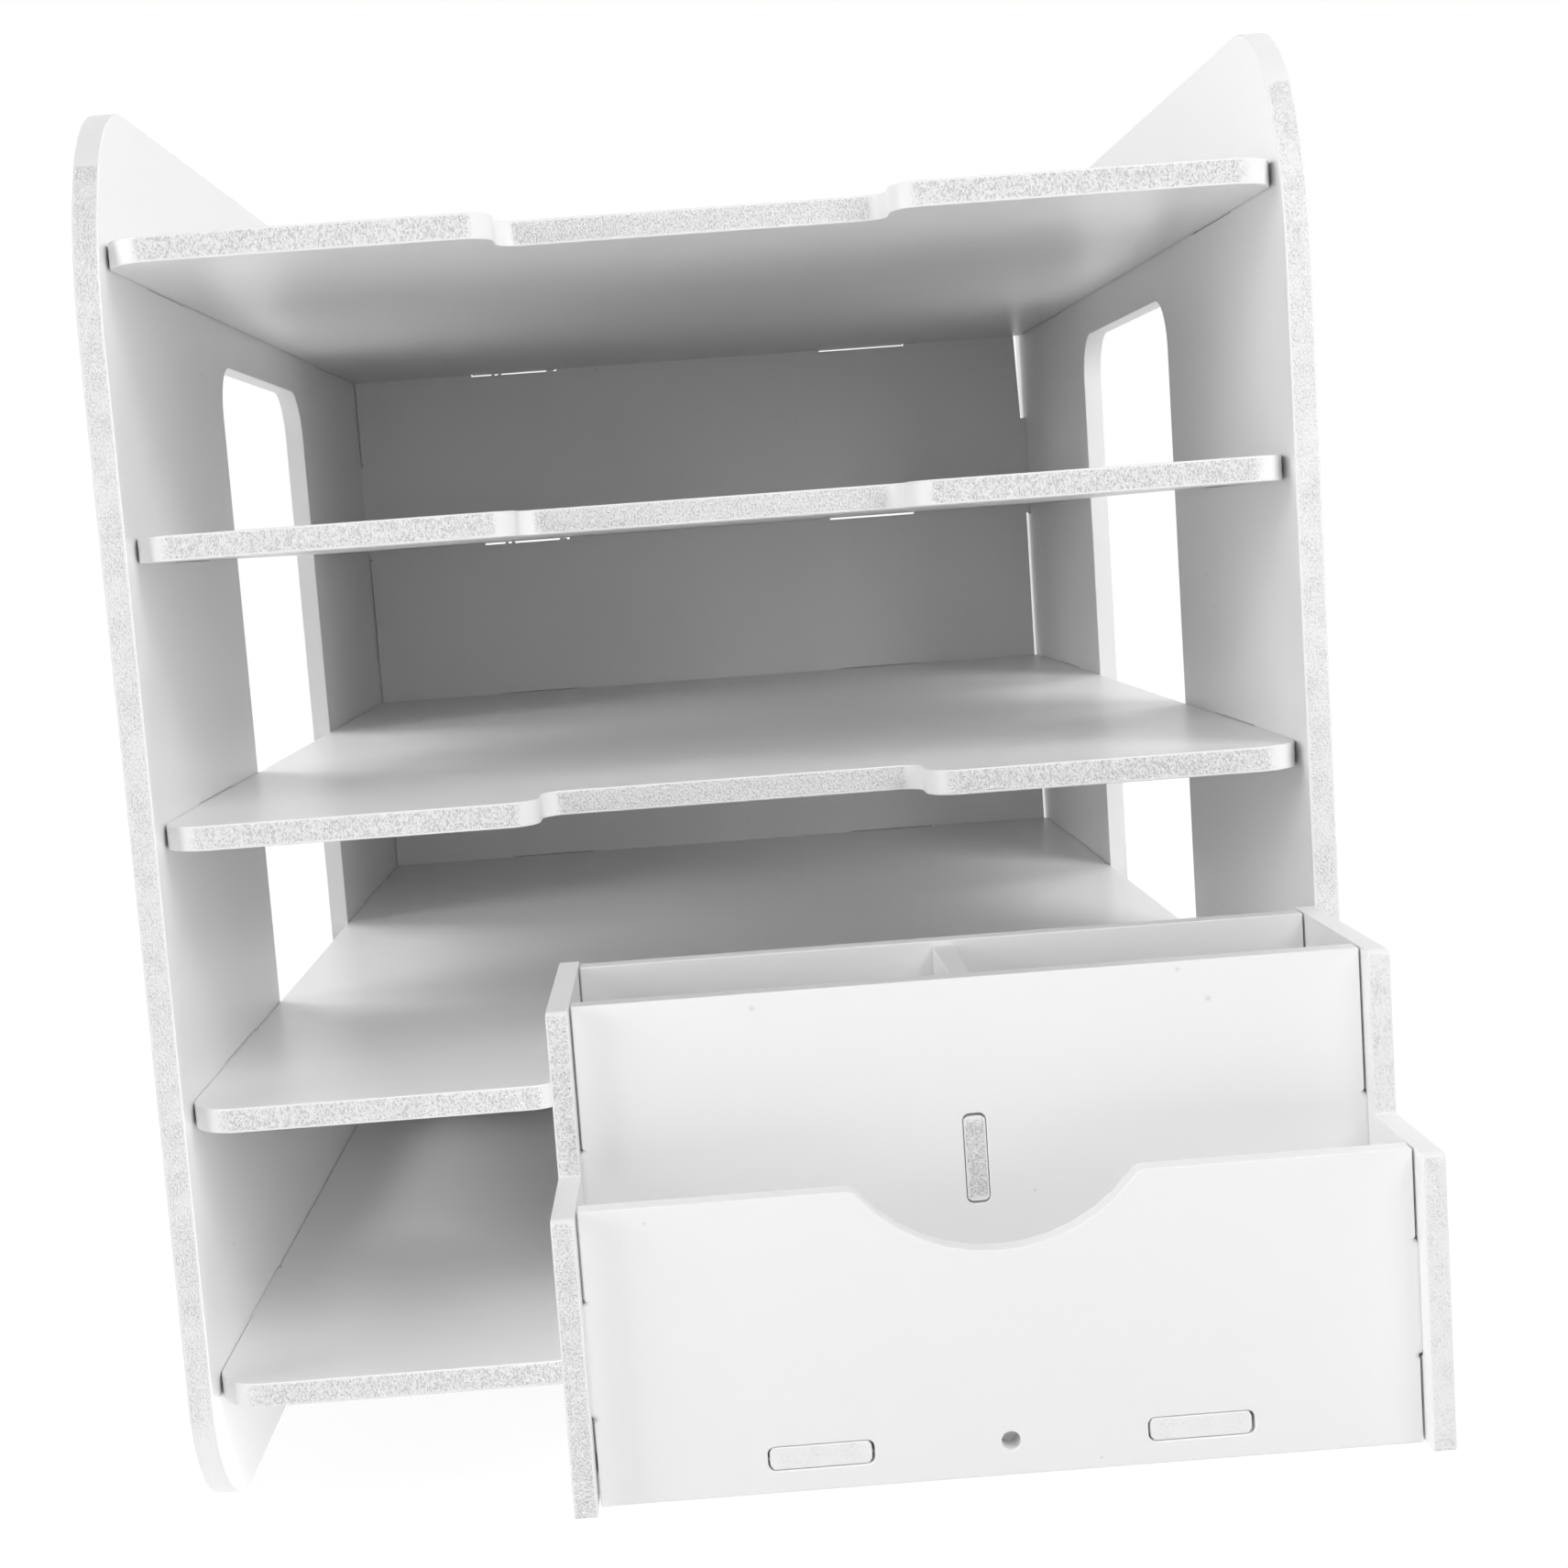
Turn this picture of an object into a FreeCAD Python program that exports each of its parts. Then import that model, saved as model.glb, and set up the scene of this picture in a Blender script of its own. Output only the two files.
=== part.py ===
import FreeCAD, Part
import math
import os
import Sketcher

# Desktop letter rack of slot-together white foam boards: two side panels, five shelves and a
# back panel, with a drawer in the bottom bay whose front is a two-tier organizer.
# Axes: +X right, +Y to the back, +Z up, millimetres. The origin is under the middle of the
# whole object, on the table.

DOC = FreeCAD.newDocument("letter_rack")

DIMENSIONS = {
    # rack
    "board": 5.0,                   # thickness of the rack's boards
    "rack_width": 236.0,
    "rack_height": 286.2,
    "panel_depth": 347.0,           # front to back of a side panel
    "top_front_radius": 28.0,       # upper arc of the top front corner
    "front_sweep_radius": 66.0,     # wider arc between it and the straight front edge
    "front_sweep_start": 238.5,
    "bottom_front_radius": 28.0,
    "panel_rear_radius": 15.0,
    "window_front": 108.0,          # window in a side panel
    "window_rear": 220.5,
    "window_bottom": 64.0,
    "window_top": 242.0,
    "window_radius": 12.5,
    "first_shelf_top": 31.2,
    "shelf_pitch": 56.6,
    "shelf_front": 0.5,             # shelf edge behind the panels' front edges
    "shelf_corner_radius": 10.0,
    "scoop_half_width": 38.3,       # finger scoop in the middle of a shelf's front edge
    "scoop_depth": 15.5,
    "scoop_outer_radius": 6.0,
    "scoop_inner_radius": 4.5,
    "back_front": 335.0,            # front face of the back panel
    "back_bottom": 14.0,
    "back_top": 271.0,
    "back_left_relief": 0.3,        # open gap beside the back panel, between its tabs
    "back_right_relief": 1.4,
    "back_top_relief": 1.6,         # over the topmost right tab
    "back_corner_relief": 3.1,      # at the top right corner, where the gap is widest
    # tabs and slots of the rack
    "front_tab_start": 41.0,
    "rear_tab_start": 255.0,
    "side_tab_length": 35.0,
    "back_tab_offset": 59.0,        # shelf tabs through the back panel, from the middle
    "back_tab_width": 29.0,
    "panel_tab_low": 40.0,          # back panel tabs through the side panels
    "panel_tab_middle": 108.0,
    "panel_tab_high": 193.0,
    "panel_tab_length": 32.0,
    "slot_play": 0.15,              # each side, across the board
    "slot_end_play": 0.4,           # each end, along the tab
    "slot_drop": 0.7,               # under a shelf tab in the back panel
    "slot_radius": 0.8,
    "joint_gap": 0.1,               # between a board's edge and the face it meets
    # drawer
    "thin": 4.0,                    # thickness of the drawer's boards
    "drawer_width": 149.1,
    "drawer_side_gap": 0.4,         # to the right side panel
    "drawer_lift": 0.3,             # over the bottom shelf
    "drawer_reach": 75.0,           # in front of the rack
    "drawer_length": 279.0,
    "front_tier_height": 51.5,
    "front_tier_depth": 26.0,
    "tall_tier_height": 81.0,
    "tall_tier_depth": 48.5,
    "tray_height": 48.0,
    "board_inset": 4.0,             # cross boards behind the side boards' edges
    "side_corner_radius": 1.5,
    "cross_relief": 0.35,           # open gap beside a cross board, above and below its tab
    "low_tab_bottom": 15.5,         # side tabs of the front board and of the tray end
    "low_tab_top": 35.5,
    "tall_tab_bottom": 30.0,        # side tabs of the middle and back boards
    "tall_tab_top": 54.5,
    "divider_tab_bottom": 40.0,
    "divider_tab_top": 55.7,
    "divider_drop": 1.0,            # below the tops of the boards beside it
    "floor_rise": 4.0,              # bottom board above the side boards' lower edges
    "floor_tab_offset": 32.4,       # bottom board tabs through the cross boards
    "floor_tab_width": 17.4,
    "floor_side_tab_length": 22.0,
    "floor_side_tab_first": 8.0,    # from the front board's back face
    "floor_side_tab_second": 110.0,
    "floor_side_tab_third": 212.0,
    "cutout_radius": 30.0,          # scoop in the drawer's front board
    "cutout_depth": 12.0,
    "cutout_shoulder": 3.0,
    "front_hole_radius": 1.6,
}

SHEET = DOC.addObject("Spreadsheet::Sheet", "sizes")
for row, (alias, number) in enumerate(DIMENSIONS.items(), start=1):
    SHEET.set("A%d" % row, alias.replace("_", " "))
    SHEET.set("B%d" % row, str(number))
    SHEET.setAlias("B%d" % row, alias)
DOC.recompute()


class Size:
    """A length in millimetres together with the sheet expression that gives it."""

    def __init__(self, text, mm):
        self.text = text
        self.mm = mm

    def _join(self, sign, other, mm):
        return Size("(%s %s %s)" % (self.text, sign, other.text), mm)

    def __add__(self, other):
        other = as_size(other)
        return self._join("+", other, self.mm + other.mm)

    def __sub__(self, other):
        other = as_size(other)
        return self._join("-", other, self.mm - other.mm)

    def __mul__(self, other):
        other = as_size(other)
        return self._join("*", other, self.mm * other.mm)

    def __truediv__(self, other):
        other = as_size(other)
        return self._join("/", other, self.mm / other.mm)

    def root(self):
        return Size("sqrt(%s)" % self.text, math.sqrt(self.mm))


def as_size(value):
    return value if isinstance(value, Size) else Size(repr(float(value)), float(value))


def cell(alias):
    return Size("sizes." + alias, float(DIMENSIONS[alias]))


ZERO = as_size(0)
BOARD = cell("board")
THIN = cell("thin")
GAP = cell("joint_gap")
PLAY = cell("slot_play")
END_PLAY = cell("slot_end_play")

LEFT_TURN = 1
RIGHT_TURN = -1


class Outline:
    """A closed path of lines and arcs; each point starts the stretch to the next one."""

    def __init__(self):
        self.points = []

    def line(self, x, y):
        self.points.append((as_size(x), as_size(y), None, 0))

    def arc(self, x, y, radius, turn=LEFT_TURN):
        self.points.append((as_size(x), as_size(y), radius, turn))


def arc_centre(start, end, radius, turn):
    """Centre of the shorter arc of this radius from start to end, turning left or right."""
    chord = end - start
    half = chord.Length / 2
    rise = math.sqrt(max(radius * radius - half * half, 0.0))
    normal = FreeCAD.Vector(-chord.y, chord.x, 0) / chord.Length
    return start + chord / 2 + normal * (rise * turn)


def draw(sketch, outlines):
    """Draw closed outlines, with every corner and radius bound to the sheet."""
    up = FreeCAD.Vector(0, 0, 1)
    shapes = []
    links = []
    bound = []
    for outline in outlines:
        first = len(shapes)
        count = len(outline.points)
        corners = [FreeCAD.Vector(x.mm, y.mm, 0) for x, y, radius, turn in outline.points]
        ends = []
        for index, (x, y, radius, turn) in enumerate(outline.points):
            start = corners[index]
            end = corners[(index + 1) % count]
            if radius is None:
                shapes.append(Part.LineSegment(start, end))
                ends.append((1, 2))
                continue
            centre = arc_centre(start, end, radius.mm, turn)
            low, high = (start, end) if turn == LEFT_TURN else (end, start)
            from_angle = math.atan2(low.y - centre.y, low.x - centre.x)
            to_angle = math.atan2(high.y - centre.y, high.x - centre.x)
            circle = Part.Circle(centre, up, radius.mm)
            shapes.append(Part.ArcOfCircle(circle, from_angle, to_angle))
            ends.append((1, 2) if turn == LEFT_TURN else (2, 1))
        for index, (x, y, radius, turn) in enumerate(outline.points):
            here = first + index
            before = first + (index - 1) % count
            tail = ends[(index - 1) % count][1]
            head = ends[index][0]
            links.append(Sketcher.Constraint("Coincident", before, tail, here, head))
            for kind, axis, size in (("DistanceX", -2, x), ("DistanceY", -1, y)):
                if size is ZERO:
                    links.append(Sketcher.Constraint("PointOnObject", here, head, axis))
                else:
                    bound.append((Sketcher.Constraint(kind, -1, 1, here, head, size.mm), size))
            if radius is not None:
                bound.append((Sketcher.Constraint("Radius", here, radius.mm), radius))
    sketch.addGeometry(shapes, False)
    sketch.addConstraint(links)
    sketch.addConstraint([constraint for constraint, size in bound])
    for number, (constraint, size) in enumerate(bound, start=len(links)):
        sketch.setExpression("Constraints[%d]" % number, size.text)


def rounded_box(left, low, right, high, radius):
    box = Outline()
    box.line(left + radius, low)
    box.arc(right - radius, low, radius)
    box.line(right, low + radius)
    box.arc(right, high - radius, radius)
    box.line(right - radius, high)
    box.arc(left + radius, high, radius)
    box.line(left, high - radius)
    box.arc(left, low + radius, radius)
    return box


def slot(left, low, right, high):
    """Slot with small round corners around a tab of these four sides."""
    return rounded_box(left - END_PLAY, low - PLAY, right + END_PLAY, high + PLAY,
                       cell("slot_radius"))


def upright_slot(left, low, right, high):
    """Slot around a tab that stands upright in the board's drawing."""
    return rounded_box(left - PLAY, low - END_PLAY, right + PLAY, high + END_PLAY,
                       cell("slot_radius"))


def new_sketch(body, plane, name, outlines):
    sketch = body.newObject("Sketcher::SketchObject", name)
    origin = [item for item in body.Origin.OriginFeatures if item.Role == plane][0]
    sketch.AttachmentSupport = [(origin, "")]
    sketch.MapMode = "FlatFace"
    draw(sketch, outlines)
    return sketch


def new_board(label, plane, thickness, outlines, place):
    """A flat board cut to an outline; place is its corner in the rack's own axes."""
    body = DOC.addObject("PartDesign::Body", label)
    body.Label = label
    sketch = new_sketch(body, plane, label + "_outline", outlines)
    pad = body.newObject("PartDesign::Pad", label + "_board")
    pad.Profile = sketch
    pad.setExpression("Length", thickness.text)
    pad.Reversed = plane == "XZ_Plane"
    x, y, z = place
    y = y - (cell("panel_depth") - cell("drawer_reach")) / 2
    body.setExpression("Placement.Base.x", x.text)
    body.setExpression("Placement.Base.y", y.text)
    body.setExpression("Placement.Base.z", z.text)
    DOC.recompute()
    return body


def cut_through(body, plane, name, outlines):
    """Cut openings right through a board and check that material went."""
    before = body.Shape.Volume
    sketch = new_sketch(body, plane, name + "_outline", outlines)
    pocket = body.newObject("PartDesign::Pocket", name)
    pocket.Profile = sketch
    pocket.Type = "ThroughAll"
    pocket.Midplane = True
    DOC.recompute()
    if body.Shape.Volume >= before:
        raise RuntimeError(name + " cut nothing")
    return pocket, sketch


def repeat_up(body, pocket, sketch, spacing, count):
    """Repeat a cut upwards along the sketch's vertical axis."""
    before = body.Shape.Volume
    pattern = body.newObject("PartDesign::LinearPattern", pocket.Name + "_row")
    pattern.Originals = [pocket]
    pattern.Direction = (sketch, ["V_Axis"])
    pattern.setExpression("Length", (spacing * (count - 1)).text)
    pattern.Occurrences = count
    body.Tip = pattern
    DOC.recompute()
    if body.Shape.Volume >= before:
        raise RuntimeError(pocket.Name + " did not repeat")


# --- rack -------------------------------------------------------------------------------

SHELVES = ["bottom_shelf", "lower_shelf", "middle_shelf", "upper_shelf", "top_shelf"]
FIRST_SHELF_LOW = cell("first_shelf_top") - BOARD
TAB_LENGTH = cell("side_tab_length")
SHELF_TABS = [cell("front_tab_start"), cell("rear_tab_start")]
PANEL_TABS = [cell("panel_tab_low"), cell("panel_tab_middle"), cell("panel_tab_high")]
BACK_FRONT = cell("back_front")
# the drawings of shelves and back panel start at the tip of the left tabs
TAB_REACH = BOARD
TIP_TO_TIP = cell("rack_width") - GAP * 2
MIDDLE = TIP_TO_TIP / 2


def side_panel(label, x):
    depth = cell("panel_depth")
    height = cell("rack_height")
    low_radius = cell("bottom_front_radius")
    top_radius = cell("top_front_radius")
    sweep_radius = cell("front_sweep_radius")
    sweep_start = cell("front_sweep_start")
    rear_radius = cell("panel_rear_radius")
    # the two arcs of the top front corner meet on the line through their centres
    centres_apart = sweep_radius - top_radius
    centres_rise = height - top_radius - sweep_start
    centres_run = (centres_apart * centres_apart - centres_rise * centres_rise).root()
    meet_y = sweep_radius - sweep_radius * centres_run / centres_apart
    meet_z = sweep_start + sweep_radius * centres_rise / centres_apart
    panel = Outline()
    panel.line(low_radius, ZERO)
    panel.arc(depth - rear_radius, ZERO, rear_radius)
    panel.line(depth, rear_radius)
    panel.arc(depth, height - rear_radius, rear_radius)
    panel.line(depth - rear_radius, height)
    panel.arc(sweep_radius - centres_run, height, top_radius)
    panel.arc(meet_y, meet_z, sweep_radius)
    panel.line(ZERO, sweep_start)
    panel.arc(ZERO, low_radius, low_radius)
    window = rounded_box(cell("window_front"), cell("window_bottom"), cell("window_rear"),
                         cell("window_top"), cell("window_radius"))
    body = new_board(label, "YZ_Plane", BOARD, [panel, window], (x, ZERO, ZERO))
    shelf_slots = [slot(start, FIRST_SHELF_LOW, start + TAB_LENGTH, cell("first_shelf_top"))
                   for start in SHELF_TABS]
    pocket, sketch = cut_through(body, "YZ_Plane", label + "_shelf_slots", shelf_slots)
    repeat_up(body, pocket, sketch, cell("shelf_pitch"), len(SHELVES))
    back_slots = [upright_slot(BACK_FRONT, low, BACK_FRONT + BOARD, low + cell("panel_tab_length"))
                  for low in PANEL_TABS]
    cut_through(body, "YZ_Plane", label + "_back_slots", back_slots)
    return body


def shelf_outline():
    """Shelf seen from above: round front corners, front scoop, tabs on three sides."""
    front = cell("shelf_front")
    corner = cell("shelf_corner_radius")
    outer = cell("scoop_outer_radius")
    inner = cell("scoop_inner_radius")
    left = TAB_REACH
    right = TIP_TO_TIP - TAB_REACH
    scoop_left = MIDDLE - cell("scoop_half_width")
    scoop_right = MIDDLE + cell("scoop_half_width")
    scoop_back = front + cell("scoop_depth")
    rear = BACK_FRONT - GAP
    shelf = Outline()
    shelf.line(left + corner, front)
    shelf.arc(scoop_left - outer, front, outer)
    shelf.line(scoop_left, front + outer)
    shelf.arc(scoop_left, scoop_back - inner, inner, RIGHT_TURN)
    shelf.line(scoop_left + inner, scoop_back)
    shelf.arc(scoop_right - inner, scoop_back, inner, RIGHT_TURN)
    shelf.line(scoop_right, scoop_back - inner)
    shelf.arc(scoop_right, front + outer, outer)
    shelf.line(scoop_right + outer, front)
    shelf.arc(right - corner, front, corner)
    shelf.line(right, front + corner)
    for start in SHELF_TABS:
        shelf.line(right, start)
        shelf.line(TIP_TO_TIP, start)
        shelf.line(TIP_TO_TIP, start + TAB_LENGTH)
        shelf.line(right, start + TAB_LENGTH)
    shelf.line(right, rear)
    half_tab = cell("back_tab_width") / 2
    for centre in (MIDDLE + cell("back_tab_offset"), MIDDLE - cell("back_tab_offset")):
        shelf.line(centre + half_tab, rear)
        shelf.line(centre + half_tab, rear + BOARD)
        shelf.line(centre - half_tab, rear + BOARD)
        shelf.line(centre - half_tab, rear)
    shelf.line(left, rear)
    for start in reversed(SHELF_TABS):
        shelf.line(left, start + TAB_LENGTH)
        shelf.line(ZERO, start + TAB_LENGTH)
        shelf.line(ZERO, start)
        shelf.line(left, start)
    shelf.arc(left, front + corner, corner)
    return shelf


def shelf(label, level):
    low = FIRST_SHELF_LOW + cell("shelf_pitch") * level
    return new_board(label, "XY_Plane", BOARD, [shelf_outline()], (ZERO - MIDDLE, ZERO, low))


def back_panel():
    low = cell("back_bottom")
    top = cell("back_top")
    joint = TAB_REACH - GAP
    left = joint + cell("back_left_relief")
    right = TIP_TO_TIP - joint - cell("back_right_relief")
    top_right = TIP_TO_TIP - joint - cell("back_top_relief")
    corner_right = TIP_TO_TIP - joint - cell("back_corner_relief")
    tab = cell("panel_tab_length")
    panel = Outline()
    panel.line(left, low)
    panel.line(right, low)
    for start in PANEL_TABS:
        panel.line(right, start)
        panel.line(TIP_TO_TIP, start)
        panel.line(TIP_TO_TIP, start + tab)
        panel.line(top_right if start is PANEL_TABS[-1] else right, start + tab)
    panel.line(corner_right, top)
    panel.line(left, top)
    for start in reversed(PANEL_TABS):
        panel.line(left, start + tab)
        panel.line(ZERO, start + tab)
        panel.line(ZERO, start)
        panel.line(left, start)
    body = new_board("back_panel", "XZ_Plane", BOARD, [panel],
                     (ZERO - MIDDLE, BACK_FRONT, ZERO))
    half_tab = cell("back_tab_width") / 2
    slots = [slot(centre - half_tab, FIRST_SHELF_LOW - cell("slot_drop") + PLAY,
                  centre + half_tab, cell("first_shelf_top"))
             for centre in (MIDDLE - cell("back_tab_offset"), MIDDLE + cell("back_tab_offset"))]
    pocket, sketch = cut_through(body, "XZ_Plane", "back_panel_shelf_slots", slots)
    repeat_up(body, pocket, sketch, cell("shelf_pitch"), len(SHELVES))
    return body


# --- drawer -----------------------------------------------------------------------------

# the drawer's drawings start at its front, at its left outer face and at its lower edge
DRAWER_LEFT = (cell("rack_width") / 2 - BOARD - cell("drawer_side_gap") - cell("drawer_width"))
DRAWER_FRONT = ZERO - cell("drawer_reach")
DRAWER_LOW = cell("first_shelf_top") + cell("drawer_lift")
INSET = cell("board_inset")
FRONT_HEIGHT = cell("front_tier_height")
TALL_HEIGHT = cell("tall_tier_height")
TRAY_HEIGHT = cell("tray_height")
TALL_FRONT = cell("front_tier_depth")
TALL_REAR = TALL_FRONT + cell("tall_tier_depth")
FLOOR_LOW = cell("floor_rise")
FLOOR_TOP = FLOOR_LOW + THIN
# front faces of the four cross boards, from the drawer's front
FRONT_BOARD = INSET
MIDDLE_BOARD = TALL_FRONT + INSET
BACK_BOARD = TALL_REAR - INSET - THIN
TRAY_END = cell("drawer_length") - INSET - THIN
# cross boards are drawn from the tip of their left tab
CROSS_TIP_TO_TIP = cell("drawer_width") - GAP * 2
CROSS_MIDDLE = CROSS_TIP_TO_TIP / 2
CROSS_LEFT = THIN - GAP + cell("cross_relief")
CROSS_RIGHT = CROSS_TIP_TO_TIP - CROSS_LEFT
LOW_TAB = (cell("low_tab_bottom"), cell("low_tab_top"))
TALL_TAB = (cell("tall_tab_bottom"), cell("tall_tab_top"))
DIVIDER_TAB = (cell("divider_tab_bottom"), cell("divider_tab_top"))
FLOOR_START = FRONT_BOARD + THIN + GAP
FLOOR_SIDE_TABS = [FLOOR_START + cell("floor_side_tab_first"),
                   FLOOR_START + cell("floor_side_tab_second"),
                   FLOOR_START + cell("floor_side_tab_third")]


def drawer_place(y, z):
    """Place of a cross board whose front face is y behind the drawer's front."""
    return DRAWER_LEFT + GAP, DRAWER_FRONT + y, DRAWER_LOW + z


def drawer_side(label, x):
    """Stepped side board: low front tier, tall tier, then the low run into the bay."""
    length = cell("drawer_length")
    corner = cell("side_corner_radius")
    side = Outline()
    side.line(ZERO, ZERO)
    side.line(length, ZERO)
    side.arc(length, TRAY_HEIGHT - corner, corner)
    side.line(length - corner, TRAY_HEIGHT)
    side.line(TALL_REAR, TRAY_HEIGHT)
    side.arc(TALL_REAR, TALL_HEIGHT - corner, corner)
    side.line(TALL_REAR - corner, TALL_HEIGHT)
    side.arc(TALL_FRONT + corner, TALL_HEIGHT, corner)
    side.line(TALL_FRONT, TALL_HEIGHT - corner)
    side.line(TALL_FRONT, FRONT_HEIGHT)
    side.arc(corner, FRONT_HEIGHT, corner)
    side.line(ZERO, FRONT_HEIGHT - corner)
    body = new_board(label, "YZ_Plane", THIN, [side], (x, DRAWER_FRONT, DRAWER_LOW))
    slots = [upright_slot(FRONT_BOARD, LOW_TAB[0], FRONT_BOARD + THIN, LOW_TAB[1]),
             upright_slot(MIDDLE_BOARD, TALL_TAB[0], MIDDLE_BOARD + THIN, TALL_TAB[1]),
             upright_slot(BACK_BOARD, TALL_TAB[0], BACK_BOARD + THIN, TALL_TAB[1]),
             upright_slot(TRAY_END, LOW_TAB[0], TRAY_END + THIN, LOW_TAB[1])]
    slots += [slot(start, FLOOR_LOW, start + cell("floor_side_tab_length"), FLOOR_TOP)
              for start in FLOOR_SIDE_TABS]
    cut_through(body, "YZ_Plane", label + "_slots", slots)
    return body


def floor_slots():
    """Slots in a cross board for the two end tabs of the bottom board."""
    half_tab = cell("floor_tab_width") / 2
    return [slot(centre - half_tab, FLOOR_LOW, centre + half_tab, FLOOR_TOP)
            for centre in (CROSS_MIDDLE - cell("floor_tab_offset"),
                           CROSS_MIDDLE + cell("floor_tab_offset"))]


def add_side_tabs(outline, tab):
    """Right edge of a cross board going up, with its tab through the side board."""
    outline.line(CROSS_RIGHT, tab[0])
    outline.line(CROSS_TIP_TO_TIP, tab[0])
    outline.line(CROSS_TIP_TO_TIP, tab[1])
    outline.line(CROSS_RIGHT, tab[1])


def add_left_tabs(outline, tab):
    """Left edge of a cross board going down, with its tab through the side board."""
    outline.line(CROSS_LEFT, tab[1])
    outline.line(ZERO, tab[1])
    outline.line(ZERO, tab[0])
    outline.line(CROSS_LEFT, tab[0])


def drawer_front():
    """Front board with a round cutout whose shoulders run smoothly into the top edge."""
    radius = cell("cutout_radius")
    shoulder = cell("cutout_shoulder")
    depth = cell("cutout_depth")
    reach = radius + shoulder
    rise = reach - depth
    shoulder_x = (reach * reach - rise * rise).root()
    touch_x = shoulder_x * radius / reach
    touch_z = FRONT_HEIGHT - shoulder + rise * shoulder / reach
    front = Outline()
    front.line(CROSS_LEFT, ZERO)
    front.line(CROSS_RIGHT, ZERO)
    add_side_tabs(front, LOW_TAB)
    front.line(CROSS_RIGHT, FRONT_HEIGHT)
    front.arc(CROSS_MIDDLE + shoulder_x, FRONT_HEIGHT, shoulder)
    front.arc(CROSS_MIDDLE + touch_x, touch_z, radius, RIGHT_TURN)
    front.arc(CROSS_MIDDLE - touch_x, touch_z, shoulder)
    front.line(CROSS_MIDDLE - shoulder_x, FRONT_HEIGHT)
    front.line(CROSS_LEFT, FRONT_HEIGHT)
    add_left_tabs(front, LOW_TAB)
    body = new_board("drawer_front", "XZ_Plane", THIN, [front],
                     drawer_place(FRONT_BOARD, ZERO))
    cut_through(body, "XZ_Plane", "drawer_front_slots", floor_slots())
    return body


def bore_front(body):
    """Small round hole in the middle of the front board, level with the bottom board."""
    sketch = new_sketch(body, "XZ_Plane", "front_hole_outline", [])
    height = FLOOR_LOW + THIN / 2
    radius = cell("front_hole_radius")
    centre = FreeCAD.Vector(CROSS_MIDDLE.mm, height.mm, 0)
    sketch.addGeometry(Part.Circle(centre, FreeCAD.Vector(0, 0, 1), radius.mm), False)
    sizes = (CROSS_MIDDLE, height, radius)
    sketch.addConstraint([
        Sketcher.Constraint("DistanceX", -1, 1, 0, 3, CROSS_MIDDLE.mm),
        Sketcher.Constraint("DistanceY", -1, 1, 0, 3, height.mm),
        Sketcher.Constraint("Radius", 0, radius.mm),
    ])
    for number, size in enumerate(sizes):
        sketch.setExpression("Constraints[%d]" % number, size.text)
    before = body.Shape.Volume
    pocket = body.newObject("PartDesign::Pocket", "front_hole")
    pocket.Profile = sketch
    pocket.Type = "ThroughAll"
    pocket.Midplane = True
    DOC.recompute()
    if body.Shape.Volume >= before:
        raise RuntimeError("front_hole cut nothing")


def tall_cross_board(label, y):
    """Middle or back board of the organizer, standing on the bottom board."""
    low = FLOOR_TOP + GAP
    board = Outline()
    board.line(CROSS_LEFT, low)
    board.line(CROSS_RIGHT, low)
    add_side_tabs(board, TALL_TAB)
    board.line(CROSS_RIGHT, TALL_HEIGHT)
    board.line(CROSS_LEFT, TALL_HEIGHT)
    add_left_tabs(board, TALL_TAB)
    body = new_board(label, "XZ_Plane", THIN, [board], drawer_place(y, ZERO))
    half = THIN / 2
    cut_through(body, "XZ_Plane", label + "_slot",
                [upright_slot(CROSS_MIDDLE - half, DIVIDER_TAB[0], CROSS_MIDDLE + half,
                              DIVIDER_TAB[1])])
    return body


def tray_end():
    end = Outline()
    end.line(CROSS_LEFT, ZERO)
    end.line(CROSS_RIGHT, ZERO)
    add_side_tabs(end, LOW_TAB)
    end.line(CROSS_RIGHT, TRAY_HEIGHT)
    end.line(CROSS_LEFT, TRAY_HEIGHT)
    add_left_tabs(end, LOW_TAB)
    body = new_board("drawer_tray_end", "XZ_Plane", THIN, [end], drawer_place(TRAY_END, ZERO))
    cut_through(body, "XZ_Plane", "drawer_tray_end_slots", floor_slots())
    return body


def divider():
    """Upright board between the middle and back boards, with one tab through each."""
    front = THIN
    rear = BACK_BOARD - MIDDLE_BOARD - GAP
    low = FLOOR_TOP + GAP
    top = TALL_HEIGHT - cell("divider_drop")
    board = Outline()
    board.line(front + GAP, low)
    board.line(rear, low)
    board.line(rear, DIVIDER_TAB[0])
    board.line(rear + THIN, DIVIDER_TAB[0])
    board.line(rear + THIN, DIVIDER_TAB[1])
    board.line(rear, DIVIDER_TAB[1])
    board.line(rear, top)
    board.line(front + GAP, top)
    board.line(front + GAP, DIVIDER_TAB[1])
    board.line(GAP, DIVIDER_TAB[1])
    board.line(GAP, DIVIDER_TAB[0])
    board.line(front + GAP, DIVIDER_TAB[0])
    x = DRAWER_LEFT + GAP + CROSS_MIDDLE - THIN / 2
    return new_board("drawer_divider", "YZ_Plane", THIN, [board],
                     (x, DRAWER_FRONT + MIDDLE_BOARD, DRAWER_LOW))


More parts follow.
